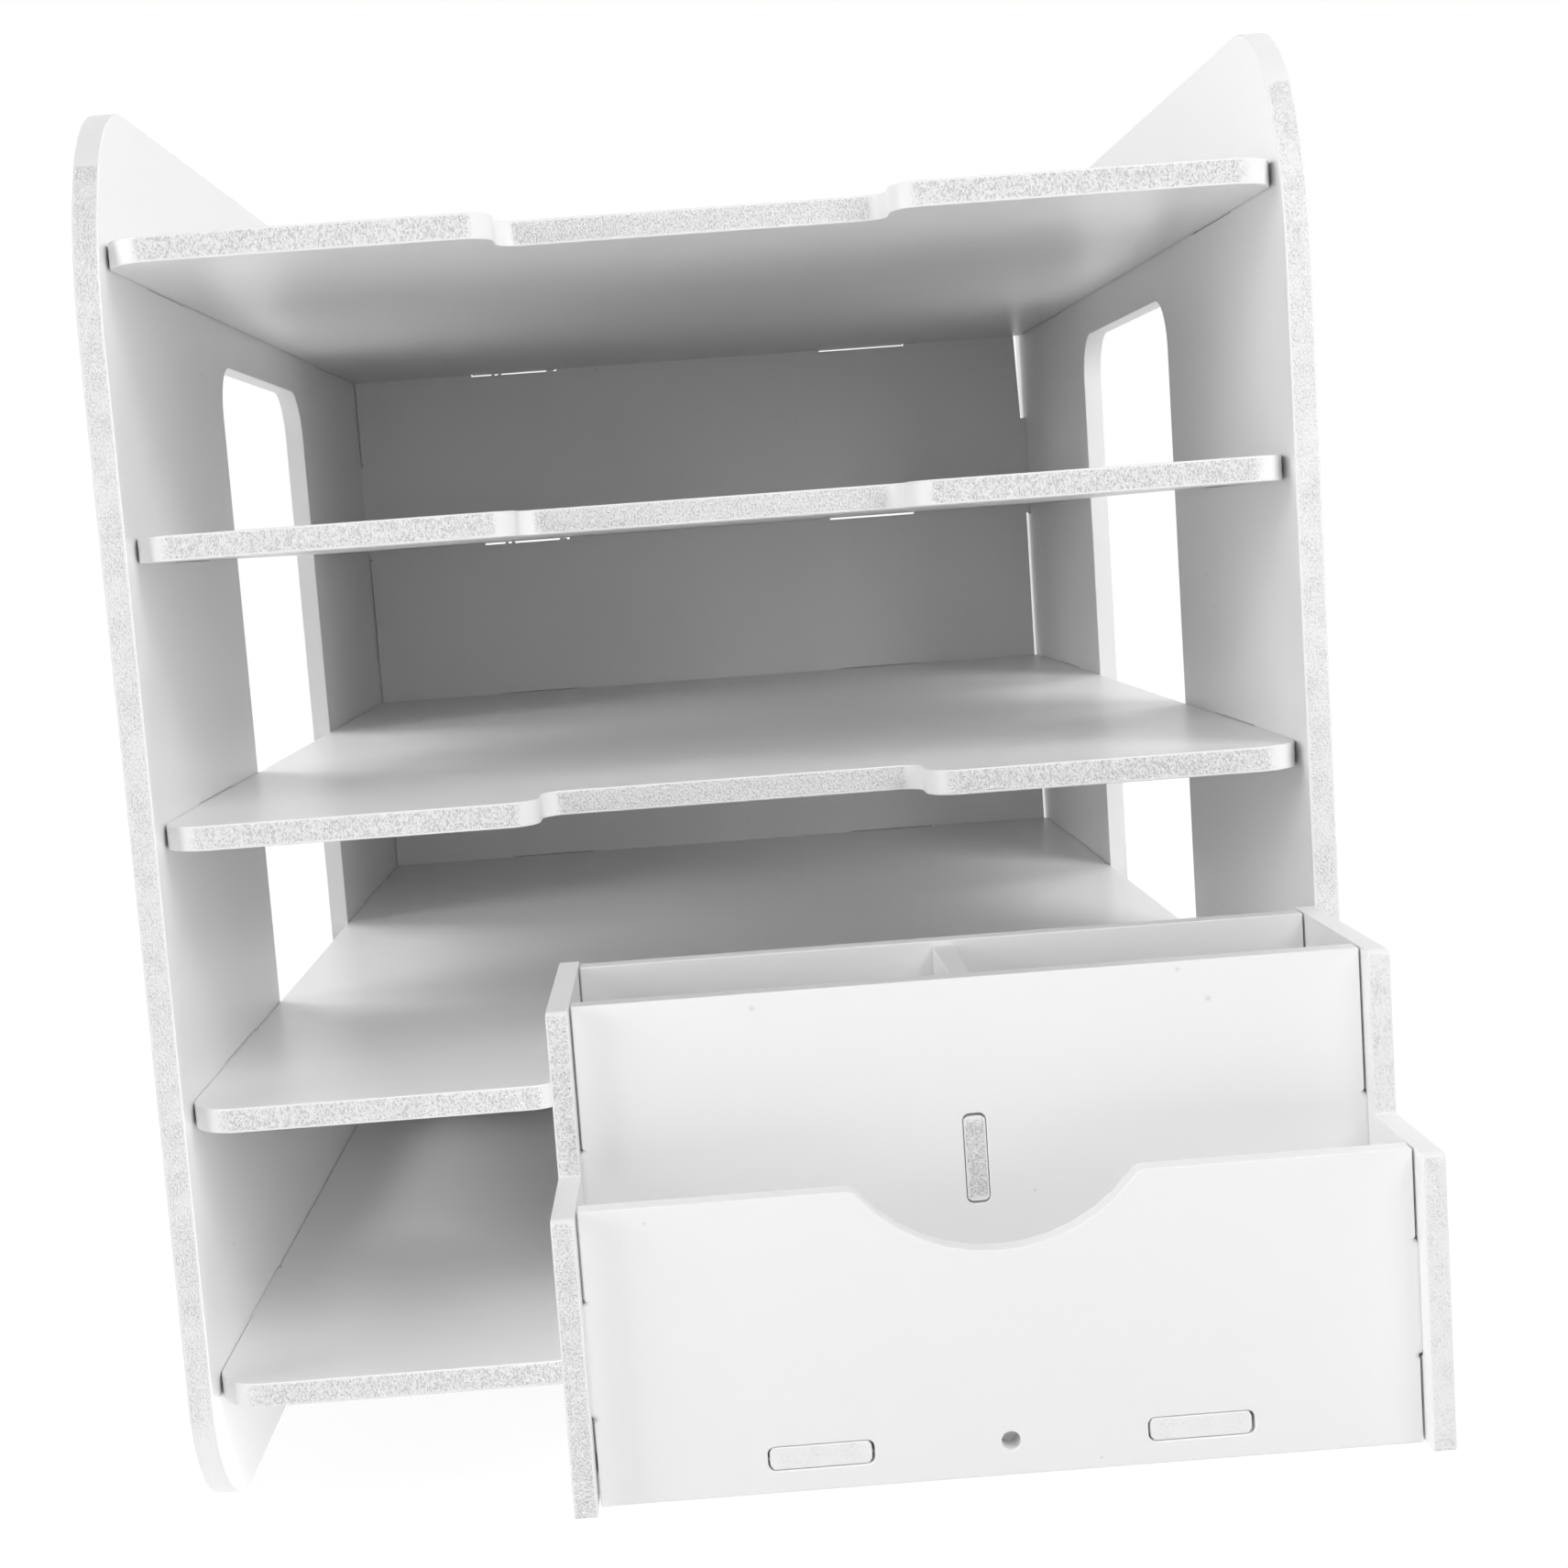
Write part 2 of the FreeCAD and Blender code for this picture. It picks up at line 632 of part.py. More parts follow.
def drawer_bottom():
    """Bottom board under the organizer and the tray, with tabs on all four sides."""
    left = THIN
    right = CROSS_TIP_TO_TIP - THIN
    front = FLOOR_START
    rear = TRAY_END - GAP
    half_tab = cell("floor_tab_width") / 2
    tab_length = cell("floor_side_tab_length")
    left_tab = CROSS_MIDDLE - cell("floor_tab_offset")
    right_tab = CROSS_MIDDLE + cell("floor_tab_offset")
    floor = Outline()
    floor.line(left, front)
    for centre in (left_tab, right_tab):
        floor.line(centre - half_tab, front)
        floor.line(centre - half_tab, front - THIN)
        floor.line(centre + half_tab, front - THIN)
        floor.line(centre + half_tab, front)
    floor.line(right, front)
    for start in FLOOR_SIDE_TABS:
        floor.line(right, start)
        floor.line(CROSS_TIP_TO_TIP, start)
        floor.line(CROSS_TIP_TO_TIP, start + tab_length)
        floor.line(right, start + tab_length)
    floor.line(right, rear)
    for centre in (right_tab, left_tab):
        floor.line(centre + half_tab, rear)
        floor.line(centre + half_tab, rear + THIN)
        floor.line(centre - half_tab, rear + THIN)
        floor.line(centre - half_tab, rear)
    floor.line(left, rear)
    for start in reversed(FLOOR_SIDE_TABS):
        floor.line(left, start + tab_length)
        floor.line(ZERO, start + tab_length)
        floor.line(ZERO, start)
        floor.line(left, start)
    return new_board("drawer_bottom", "XY_Plane", THIN, [floor],
                     (DRAWER_LEFT + GAP, DRAWER_FRONT, DRAWER_LOW + FLOOR_LOW))


# --- build and write --------------------------------------------------------------------

bodies = [
    side_panel("left_side_panel", ZERO - cell("rack_width") / 2),
    side_panel("right_side_panel", cell("rack_width") / 2 - BOARD),
]
bodies += [shelf(label, level) for level, label in enumerate(SHELVES)]
bodies.append(back_panel())
front_board = drawer_front()
bore_front(front_board)
bodies += [
    drawer_side("drawer_left_side", DRAWER_LEFT),
    drawer_side("drawer_right_side", DRAWER_LEFT + cell("drawer_width") - THIN),
    front_board,
    tall_cross_board("drawer_middle_board", MIDDLE_BOARD),
    tall_cross_board("drawer_back_board", BACK_BOARD),
    divider(),
    drawer_bottom(),
    tray_end(),
]
DOC.recompute()

failed = [item.Name for item in DOC.Objects if "Invalid" in item.State or "Error" in item.State]
if failed:
    raise RuntimeError("failed objects: " + ", ".join(failed))
for body in bodies:
    if body.Shape.isNull() or not body.Shape.isValid() or len(body.Shape.Solids) != 1:
        raise RuntimeError(body.Label + " is not one valid solid")

os.makedirs("parts", exist_ok=True)
for body in bodies:
    body.Shape.exportStep("parts/" + body.Label + ".step")
    box = body.Shape.BoundBox
    print("%-22s x %7.1f %7.1f  y %7.1f %7.1f  z %6.1f %6.1f  volume %9.0f" % (
        body.Label, box.XMin, box.XMax, box.YMin, box.YMax, box.ZMin, box.ZMax,
        body.Shape.Volume))
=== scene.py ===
import math

import bpy
import numpy as np
from mathutils import Matrix, Vector
from mathutils.geometry import tessellate_polygon


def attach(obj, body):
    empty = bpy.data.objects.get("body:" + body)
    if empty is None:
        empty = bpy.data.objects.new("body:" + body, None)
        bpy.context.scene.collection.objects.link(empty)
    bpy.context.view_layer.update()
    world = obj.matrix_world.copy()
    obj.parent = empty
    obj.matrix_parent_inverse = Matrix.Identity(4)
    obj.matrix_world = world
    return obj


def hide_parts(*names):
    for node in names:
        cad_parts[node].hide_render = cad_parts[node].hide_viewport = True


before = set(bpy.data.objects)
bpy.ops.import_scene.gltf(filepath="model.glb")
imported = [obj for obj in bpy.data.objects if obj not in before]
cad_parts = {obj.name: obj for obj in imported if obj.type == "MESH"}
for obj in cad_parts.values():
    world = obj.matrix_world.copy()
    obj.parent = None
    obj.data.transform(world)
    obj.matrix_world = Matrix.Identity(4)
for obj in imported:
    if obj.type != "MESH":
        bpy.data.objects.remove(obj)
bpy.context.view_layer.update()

# Letter rack of slot-together white foam boards with a drawer in its bottom bay. Outlines and
# sizes are in millimetres in the rack's own frame: +X right, +Y back, +Z up.
MM = 0.001

# rack
BOARD = 5.0
PANEL_OUT = 118.0               # outer faces of the side panels
PANEL_FRONT = -136.0
PANEL_REAR = 211.0
PANEL_TOP = 286.2
PANEL_FRONT_ROUND = 28.0
PANEL_REAR_ROUND = 15.0
SWEEP_BACK = 17.7               # the front's top corner: how far back and how low it begins
SWEEP_LOW = 256.9
SWEEP_ROUND = 66.0
WINDOW = (-28.0, 64.0, 84.5, 242.0)
WINDOW_ROUND = 12.5
SHELF_TOPS = {
    "bottom_shelf": 31.2,
    "lower_shelf": 87.8,
    "middle_shelf": 144.4,
    "upper_shelf": 201.0,
    "top_shelf": 257.6,
}
SHELF_SIDE = 112.9
SHELF_FRONT = -135.5
SHELF_REAR = 198.9
SHELF_ROUND = 10.0
SCOOP_SIDE = 38.3
SCOOP_BACK = -120.0
SCOOP_FRONT_ROUND = 6.0
SCOOP_BACK_ROUND = 4.5
RACK_TAB_TIP = 117.9
SIDE_TABS = [(-95.0, -60.0), (119.0, 154.0)]
BACK_TABS = [(-73.5, -44.5), (44.5, 73.5)]
BACK_FRONT = 199.0
BACK_TAB_TIP = 203.9
BACK_LEFT = -112.7
BACK_RIGHT = 111.6
BACK_TOP_RIGHT = 111.4          # over the topmost right tab
BACK_CORNER = 109.9             # top right corner
BACK_LOW = 14.0
BACK_TOP = 271.0
PANEL_TABS = [(40.0, 72.0), (108.0, 140.0), (193.0, 225.0)]
BACK_SLOT_DROP = 0.65           # how far the back's slots reach below the shelves
BACK_SLOT_ROUND = 0.2
CRUMBS = [(7.0, 0.9), (9.2, 1.0), (25.6, 1.6), (27.4, 0.5)]     # place and width
CRUMB_ROUND = 0.1
CRUMB_LEAN = 0.15
CRUMB_GAP = 0.05

# drawer
THIN = 4.0
SIDE_LEFT = -36.5
SIDE_RIGHT = 108.6
DRAWER_FRONT = -211.0
DRAWER_REAR = 68.0
DRAWER_LOW = 31.5
LOW_TOP = 83.0
TALL_TOP = 112.5
TRAY_TOP = 79.5
TALL_FRONT = -185.0
TALL_REAR = -136.5
FRONT_BOARD = -207.0
MIDDLE_BOARD = -181.0
BACK_BOARD = -144.5
TRAY_END = 60.0
CROSS_LEFT = -32.15
CROSS_RIGHT = 108.25
CROSS_MIDDLE = 38.05
TIP_LEFT = -36.4
TIP_RIGHT = 112.5
LOW_TAB = (47.0, 67.0)
TALL_TAB = (61.5, 86.0)
DIVIDER_TAB = (71.5, 87.2)
DIVIDER_TOP = 111.5
FLOOR_LOW = 35.5
FLOOR_TOP = 39.5
FLOOR_LEFT = -32.4
FLOOR_RIGHT = 108.5
FLOOR_FRONT = -202.9
FLOOR_REAR = 59.9
FLOOR_TABS = [(-3.05, 14.35), (61.75, 79.15)]
FLOOR_SIDE_TABS = [(-194.9, -172.9), (-92.9, -70.9), (9.1, 31.1)]
HOLE_RADIUS = 1.6
BOARD_GAP = 0.1                 # between a board and the face that it meets
END_ROUND = 1.5                 # top corners of the sides
CUTOUT_SIDE = 24.15             # round cutout of the front: half width, depth of its corner
CUTOUT_DROP = 29.2
CUTOUT_ROUND = 30.0
SHOULDER_ROUND = 3.0

# cuts
PLAY = 0.11                     # slot wider than the tab, each side
END_PLAY = 0.4                  # slot longer than the tab, each end
SLOT_RADIUS = 1.3
SLOT_SHIFT = 0.08               # tabs sit this much off the middle of their slots
TAB_SOFT = 1.1                  # rounding that a tab takes on in its slot
HOLE_SAWN = 0.15                # roughness left in a hole, beside that of the outline
TAB_LENGTH = 6.0                # a tab's side is shorter than this
NIB = 0.35                      # radius of a corner that is cut sharp
ARRIS = 0.28                    # rounding between a face and a cut edge
SWEEP_RADIUS = 40.0             # a curve wider than this is sawn like a straight run
SHARP_RADIUS = 2.0              # and so is a corner tighter than this
LONG_RUN = 5.0                  # a straight run is smooth up to here, sawn from twice this on
ARC_FADE = 0.38                 # share of a tight curve over which the saw's marks die out
FADE = 1.5                      # most and least length at each end of a straight run over
FADE_LEAST = 0.3                # which its marks and its rounding change
FADE_SOFT = 1.1                 # that length beside a soft corner, in roundings
HALF_RUN = 0.45                 # and at most this share of the run
RUBBED = 0.8                    # edges that look up more than this are rubbed smooth
RUBBED_BLEND = 0.3
ARC_STEPS = 13
ARRIS_STEPS = 4
RUN_SHARES = np.array([0.15, 0.45, 1.0])


# --- boards ---------------------------------------------------------------------------------

def run_along(corners):
    """Closed path round a board, material on its left.

    corners are (x, y, radius) or (x, y, radius, soft). Each corner becomes the arc that touches
    both of its sides: the arc starts one radius times the tangent of half the turn before the
    corner, and its points are the centre plus or minus the radius times the outward normal,
    which turns evenly from the first side's normal to the second's. Each straight run gets six
    more points near its ends.

    Gives points, outward normals, how rough the saw left them and the rounding between face and
    edge. The roughness is 1 on long straight runs, wide curves and sharp corners, falls from
    both ends to 0 in the middle of a tight curve, and is 0 at soft corners. The rounding is soft
    at a soft corner, and at a distance d along the run after it soft - sqrt(soft^2 -
    (soft - d)^2), so that the end of a tab is a rounded box. A run shorter than TAB_LENGTH
    between two soft corners is soft all along.
    """
    spot = np.array([c[:2] for c in corners], float)
    radius = np.array([c[2] for c in corners], float)
    soft = np.array([c[3] if len(c) > 3 else 0.0 for c in corners], float)
    ahead = np.roll(spot, -1, axis=0) - spot
    run = np.hypot(ahead[:, 0], ahead[:, 1])
    ahead /= run[:, None]
    before = np.roll(ahead, 1, axis=0)
    cross = before[:, 0] * ahead[:, 1] - before[:, 1] * ahead[:, 0]
    turn = np.arctan2(cross, (before * ahead).sum(1))
    touch = radius * np.tan(np.abs(turn) / 2)
    side = np.sign(turn)
    first_normal = np.stack([before[:, 1], -before[:, 0]], axis=1)
    centre = spot - before * touch[:, None] - first_normal * (side * radius)[:, None]
    swing = turn[:, None] * np.linspace(0, 1, ARC_STEPS)[None, :]
    cos, sin = np.cos(swing), np.sin(swing)
    nx, ny = first_normal[:, :1], first_normal[:, 1:]
    arc_normal = np.stack([nx * cos - ny * sin, nx * sin + ny * cos], axis=2)
    arc = centre[:, None, :] + arc_normal * (side * radius)[:, None, None]
    # how rough
    wide = radius > SWEEP_RADIUS
    sharp = (radius < SHARP_RADIUS) & (soft == 0)
    straight = run - touch - np.roll(touch, -1)
    long_run = np.clip((straight - LONG_RUN) / LONG_RUN, 0, 1)
    fading = np.clip(1 - np.linspace(0, 1, ARC_STEPS) / ARC_FADE, 0, 1)
    arc_ends = np.maximum(np.roll(long_run, 1)[:, None] * fading, long_run[:, None] * fading[::-1])
    arc_saw = np.where((wide | sharp)[:, None], 1.0, arc_ends * (soft == 0)[:, None])
    fade = np.clip(radius * 0.5, np.maximum(FADE_LEAST, soft * FADE_SOFT), FADE)
    near = np.minimum(fade, straight * HALF_RUN)[:, None] * RUN_SHARES
    far = np.minimum(np.roll(fade, -1), straight * HALF_RUN)[:, None] * RUN_SHARES[::-1]
    reach = np.concatenate([near, straight[:, None] - far], axis=1)
    line = arc[:, -1:, :] + ahead[:, None, :] * reach[:, :, None]
    run_normal = np.stack([ahead[:, 1], -ahead[:, 0]], axis=1)
    line_normal = np.repeat(run_normal[:, None, :], 2 * len(RUN_SHARES), axis=1)
    next_soft = np.roll(soft, -1)
    ramp = np.concatenate([
        np.where((soft > 0)[:, None], RUN_SHARES, 1.0),
        np.where((next_soft > 0)[:, None], RUN_SHARES[::-1], 1.0),
    ], axis=1)
    line_saw = ramp * np.where(wide | np.roll(wide, -1), 1.0, long_run)[:, None]
    # rounding between face and edge
    arc_arris = np.repeat(np.maximum(soft, ARRIS)[:, None], ARC_STEPS, axis=1)
    ball = np.repeat(np.stack([soft, next_soft], axis=1), len(RUN_SHARES), axis=1)
    inside = np.maximum(ball - np.concatenate([near, far], axis=1), 0)
    line_arris = np.maximum(ball - np.sqrt(np.maximum(ball ** 2 - inside ** 2, 0)), ARRIS)
    tab_side = (run < TAB_LENGTH) & (soft > 0) & (next_soft > 0)
    line_arris = np.where(tab_side[:, None], np.maximum(line_arris, soft[:, None]), line_arris)
    points = np.concatenate([arc, line], axis=1).reshape(-1, 2)
    normals = np.concatenate([arc_normal, line_normal], axis=1).reshape(-1, 2)
    saw = np.concatenate([arc_saw, line_saw], axis=1).ravel()
    arris = np.concatenate([arc_arris, line_arris], axis=1).ravel()
    return points, normals, saw, arris


def edge_profile(thickness, arris):
    """Section of a cut edge at each point of a path: a quarter round of radius arris at the
    lower face, the flat, and a quarter round at the upper face.

    Gives inset from the edge and height, one row per step of the section, and the outward and
    upward parts of the normal of each step.
    """
    angle = np.linspace(0, math.pi / 2, ARRIS_STEPS)
    inset = (1 - np.sin(angle))[:, None] * arris[None, :]
    rise = (1 - np.cos(angle))[:, None] * arris[None, :]
    inset = np.concatenate([inset, inset[::-1]])
    height = np.concatenate([rise, thickness - rise[::-1]])
    out = np.concatenate([np.sin(angle), np.sin(angle)[::-1]])
    up = np.concatenate([-np.cos(angle), np.cos(angle)[::-1]])
    return inset, height, out, up


AXES = {"X": (2, 0, 1), "Y": (0, 2, 1), "Z": (0, 1, 2)}
boards = {"rack": [], "drawer": []}


def cut_board(name, node, body, across, low, thickness, outline, holes, finish, sawn=1.0):
    """One board: the edge profile carried along its outline and round each hole, and two faces.

    across is the axis through the board, low its lower face on that axis. A point of the edge
    is the path's point less the inset times its outward normal, at the profile's height. sawn
    is how rough its cut edges are; those that look up are rubbed smooth. Each point also gets
    cut, 0 on the faces and 1 on the cut edge, and through, its height over the thickness.
    """
    rows = ARRIS_STEPS * 2
    verts, normals, quads, saw, cut, through = [], [], [], [], [], []
    rings = []
    count = 0
    for corners in [outline] + [hole[::-1] for hole in holes]:
        path, outward, rough, arris = run_along(corners)
        if corners is not outline:
            rough = rough * HOLE_SAWN
        total = len(path)
        inset, height, out, up = edge_profile(thickness, arris)
        flat = path[None, :, :] - outward[None, :, :] * inset[:, :, None]
        verts.append(np.dstack([flat, height + low]).reshape(-1, 3))
        lean = outward[None, :, :] * out[:, None, None]
        normals.append(np.dstack([lean, np.repeat(up[:, None], total, axis=1)]).reshape(-1, 3))
        index = count + np.arange(rows * total).reshape(rows, total)
        after = np.roll(index, -1, axis=1)
        corner_sets = [index[:-1], after[:-1], after[1:], index[1:]]
        quads.append(np.stack(corner_sets, axis=2).reshape(-1, 4))
        if across != "Z":
            rough = rough * np.clip((RUBBED - outward[:, 1]) / RUBBED_BLEND, 0, 1)
        saw.append(np.tile(rough * sawn, rows))
        cut.append(np.repeat(out, total))
        through.append((height / thickness).ravel())
        rings.append(index)
        count += rows * total
    verts = np.concatenate(verts)
    normals = np.concatenate(normals)
    quads = np.concatenate(quads)
    lower = np.concatenate([ring[0] for ring in rings])
    upper = np.concatenate([ring[-1] for ring in rings])
    loops = [[Vector((x, y, 0)) for x, y in verts[ring[0], :2]] for ring in rings]
    fill = np.array(tessellate_polygon(loops), int)
    a, b, c = verts[lower[fill[:, 0]]], verts[lower[fill[:, 1]]], verts[lower[fill[:, 2]]]
    area = (b[:, 0] - a[:, 0]) * (c[:, 1] - a[:, 1]) - (b[:, 1] - a[:, 1]) * (c[:, 0] - a[:, 0])
    fill = np.where((area < 0)[:, None], fill[:, ::-1], fill)
    faces = quads.tolist() + lower[fill][:, ::-1].tolist() + upper[fill].tolist()
    order = list(AXES[across])
    if across == "Y":
        faces = [face[::-1] for face in faces]
    mesh = bpy.data.meshes.new(name)
    mesh.from_pydata((verts[:, order] * MM).tolist(), [], faces)
    mesh.shade_smooth()
    for label, values in (("cut", cut), ("saw", saw), ("through", through)):
        layer = mesh.attributes.new(label, "FLOAT", "POINT")
        layer.data.foreach_set("value", np.concatenate(values).astype(np.float32))
    mesh.normals_split_custom_set_from_vertices(normals[:, order].tolist())
    mesh.materials.append(finish)
    board = bpy.data.objects.new(name, mesh)
    bpy.context.scene.collection.objects.link(board)
    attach(board, body)
    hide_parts(node)
    boards[body].append(board)


def box_corners(left, low, right, high, radius):
    return [(left, low, radius), (right, low, radius), (right, high, radius), (left, high, radius)]


def flat_slot(left, right, low, high):
    """Slot round a tab whose long side runs along the first axis."""
    return box_corners(left - END_PLAY, low - PLAY, right + END_PLAY, high + PLAY, SLOT_RADIUS)


def upright_slot(left, right, low, high):
    return box_corners(left - PLAY, low - END_PLAY, right + PLAY, high + END_PLAY, SLOT_RADIUS)


def open_slot(left, right, low, high, crumbs):
    """Slot that stands open along its lower edge but for crumbs of foam, each given by how far
    from the left it stands and its width."""
    crest = low + BACK_SLOT_DROP - CRUMB_GAP
    teeth = []
    for place, width in crumbs:
        start, stop = left + place, left + place + width
        teeth += [
            (start, low, CRUMB_ROUND),
            (start + CRUMB_LEAN, crest, CRUMB_ROUND),
            (stop - CRUMB_LEAN, crest, CRUMB_ROUND),
            (stop, low, CRUMB_ROUND),
        ]
    return [
        (left, low, BACK_SLOT_ROUND),
        *teeth,
        (right, low, BACK_SLOT_ROUND),
        (right + END_PLAY, high, NIB),
        (left - END_PLAY, high, NIB),
    ]


def tab_up(side, tip, spans):
    """Corners of tabs on a board's side, going up that side."""
    return [
        (x, y, NIB, TAB_SOFT)
        for low, high in spans
        for x, y in ((side, low), (tip, low), (tip, high), (side, high))
    ]


def tab_down(side, tip, spans):
    return tab_up(side, tip, spans)[::-1]


def tab_back(side, tip, spans):
    """Corners of tabs on a board's far edge, going right to left."""
    return [
        (x, y, NIB, TAB_SOFT)
        for low, high in spans[::-1]
        for x, y in ((high, side), (high, tip), (low, tip), (low, side))
    ]


def tab_front(side, tip, spans):
    return tab_back(side, tip, spans)[::-1]


# --- finishes -------------------------------------------------------------------------------

class Shade:
    """A socket of a finish. Arithmetic on shades adds Math nodes to the finish."""

    def __init__(self, finish, socket):
        self.finish = finish
        self.socket = socket

    def maths(self, operation, *values):
        node = self.finish.tree.nodes.new("ShaderNodeMath")
        node.operation = operation
        for socket, value in zip(node.inputs, values):
            self.finish.plug(socket, value)
        return Shade(self.finish, node.outputs[0])

    def __add__(self, other):
        return self.maths("ADD", self, other)

    def __radd__(self, other):
        return self.maths("ADD", other, self)

    def __sub__(self, other):
        return self.maths("SUBTRACT", self, other)

    def __rsub__(self, other):
        return self.maths("SUBTRACT", other, self)

    def __mul__(self, other):
        return self.maths("MULTIPLY", self, other)

    def __rmul__(self, other):
        return self.maths("MULTIPLY", other, self)

    def ease(self, start, stop, low=0.0, high=1.0):
        """Smooth step of this value from low at start to high at stop."""
        return self.finish.add("MapRange", {"interpolation_type": "SMOOTHSTEP"}, {
            "Value": self, "From Min": start, "From Max": stop, "To Min": low, "To Max": high,
        }, "Result")


# sockets of a Mix node that mixes colours
COLOUR_A, COLOUR_B, COLOUR_OUT = 6, 7, 2


class Finish:
    """Node tree of one material or of the world."""

    def __init__(self, owner):
        owner.use_nodes = True
        self.owner = owner
        self.tree = owner.node_tree
        self.tree.nodes.clear()

    def plug(self, socket, value):
        if isinstance(value, Shade):
            self.tree.links.new(value.socket, socket)
        else:
            socket.default_value = value

    def add(self, kind, settings=None, inputs=None, output=0):
        """Any node: its settings first, then values or links of its sockets. An output node
        gives nothing back."""
        node = self.tree.nodes.new("ShaderNode" + kind)
        for name, value in (settings or {}).items():
            setattr(node, name, value)
        for name, value in (inputs or {}).items():
            self.plug(node.inputs[name], value)
        return Shade(self, node.outputs[output]) if node.outputs else None

    def seen(self):
        """1 for rays from the camera, and for those that gloss or glass sends on, else 0."""
        camera = self.add("LightPath", {}, {}, "Is Camera Ray")
        glossy = self.add("LightPath", {}, {}, "Is Glossy Ray")
        glass = self.add("LightPath", {}, {}, "Is Transmission Ray")
        return camera.maths("MAXIMUM", camera, glossy.maths("MAXIMUM", glossy, glass))

    def grey(self, level):
        """Colour with the same level in all three parts."""
        return self.add("CombineColor", {}, {"Red": level, "Green": level, "Blue": level})

    def noise(self, place, scale, detail, roughness):
        return self.add("TexNoise", {}, {
            "Vector": place, "Scale": scale, "Detail": detail, "Roughness": roughness,
        })

    def dots(self, place, scale, full, gone):
        """1 within full of scattered points, falling to 0 at gone; distances in cells."""
        points = {"Vector": place, "Scale": scale}
        spread = self.add("TexVoronoi", {"feature": "F1"}, points, "Distance")
        return spread.ease(full, gone, 1.0, 0.0)

    def tint(self, tone, level):
        """tone darkened to level."""
        return self.add("Mix", {"data_type": "RGBA", "blend_type": "MULTIPLY"}, {
            "Factor": 1.0, COLOUR_A: tone, COLOUR_B: self.grey(level),
        }, COLOUR_OUT)


def foam_board(name, face_tone, edge_tone, cell_scale, stretch):
    """White foam board: satin faces with faint clouding and specks painted darker as the shade of
    small dents; cut edges of open foam cells between two thin smooth skins, their pits painted
    darker as the shade in the hollow cells, rubbed smooth where the cutter went round a curve."""
    board = Finish(bpy.data.materials.new(name))
    place = board.add("TexCoord", {}, {}, "Object")
    cut = board.add("Attribute", {"attribute_name": "cut"}, {}, "Fac")
    saw = board.add("Attribute", {"attribute_name": "saw"}, {}, "Fac")
    through = board.add("Attribute", {"attribute_name": "through"}, {}, "Fac")

    cloud = board.noise(place, 14.0, 3.0, 0.5)
    grease = board.noise(place, 55.0, 2.0, 0.5)
    peel = board.noise(place, 420.0, 2.0, 0.5)
    # painted shade: dark specks stand for the shade in small dents of the faces
    dent_shade = board.dots(place, 50.0, 0.015, 0.040)
    dust = board.dots(place, 95.0, 0.015, 0.034)

    # foam cells of a cut edge, drawn out upwards: cell size, depth with painted shade in the pits, and
    # the skins at both faces
    along = (1.0, 1.0, stretch)
    drawn = board.add("VectorMath", {"operation": "MULTIPLY"}, {0: place, 1: along}, "Vector")
    cells = board.noise(drawn, cell_scale, 1.0, 0.5)
    fine = board.noise(drawn, cell_scale * 2.1, 0.0, 0.5)
    lumps = cells * 0.7 + fine * 0.3
    # painted shade: the deep parts of the open foam cells are darker in colour as well as in bump
    pit_shade = lumps.ease(0.56, 0.34)
    patch = board.noise(place, 260.0, 2.0, 0.5)
    # painted shade: larger scattered pits on the cut edges are darker in colour
    big_pit_shade = board.dots(place, 150.0, 0.03, 0.07)
    skin = through.ease(0.05, 0.11) * through.ease(0.95, 0.89)
    ragged = saw + (patch - 0.5) * 0.5
    open_cells = cut.ease(0.80, 1.0) * skin * ragged.ease(0.1, 0.75)

    # how light the faces and the cut edges are beside their tone: painted shade in the dents and in
    # the pits of open cells, whose other parts are a little lighter
    face_level = 1.0 - cloud.ease(0.3, 0.7) * 0.018 - dent_shade * 0.14 - dust * 0.16
    edge_level = 1.0 - open_cells * (pit_shade * 0.32 - 0.08) - open_cells * big_pit_shade * 0.20
    cut_mask = cut.ease(0.2, 0.9)
    colour = board.add("Mix", {"data_type": "RGBA"}, {
        "Factor": cut_mask,
        COLOUR_A: board.tint(face_tone, face_level),
        COLOUR_B: board.tint(edge_tone, edge_level),
    }, COLOUR_OUT)
    roughness = 0.28 + grease * 0.12 + cut_mask * 0.10 + open_cells * 0.22
    height = peel * 0.012 + (lumps - 0.5) * open_cells * 1.6
    bump = board.add("Bump", {}, {"Strength": 1.0, "Distance": 0.0005, "Height": height})
    surface = board.add("BsdfPrincipled", {}, {
        "Base Color": colour, "Roughness": roughness, "Normal": bump,
    })
    board.add("OutputMaterial", {}, {"Surface": surface})
    return board.owner


FACE_WHITE = (0.93, 0.93, 0.93, 1)
RACK_EDGE_WHITE = (0.87, 0.87, 0.87, 1)
DRAWER_EDGE_WHITE = (0.91, 0.91, 0.91, 1)
rack_finish = foam_board("rack_foam_board", FACE_WHITE, RACK_EDGE_WHITE, 3000.0, 0.62)
drawer_finish = foam_board("drawer_foam_board", FACE_WHITE, DRAWER_EDGE_WHITE, 2900.0, 0.8)


# --- rack -----------------------------------------------------------------------------------

def rack_board(node, across, low, outline, holes, sawn=1.0):
    cut_board(node + "_board", node, "rack", across, low, BOARD, outline, holes,
              rack_finish, sawn)


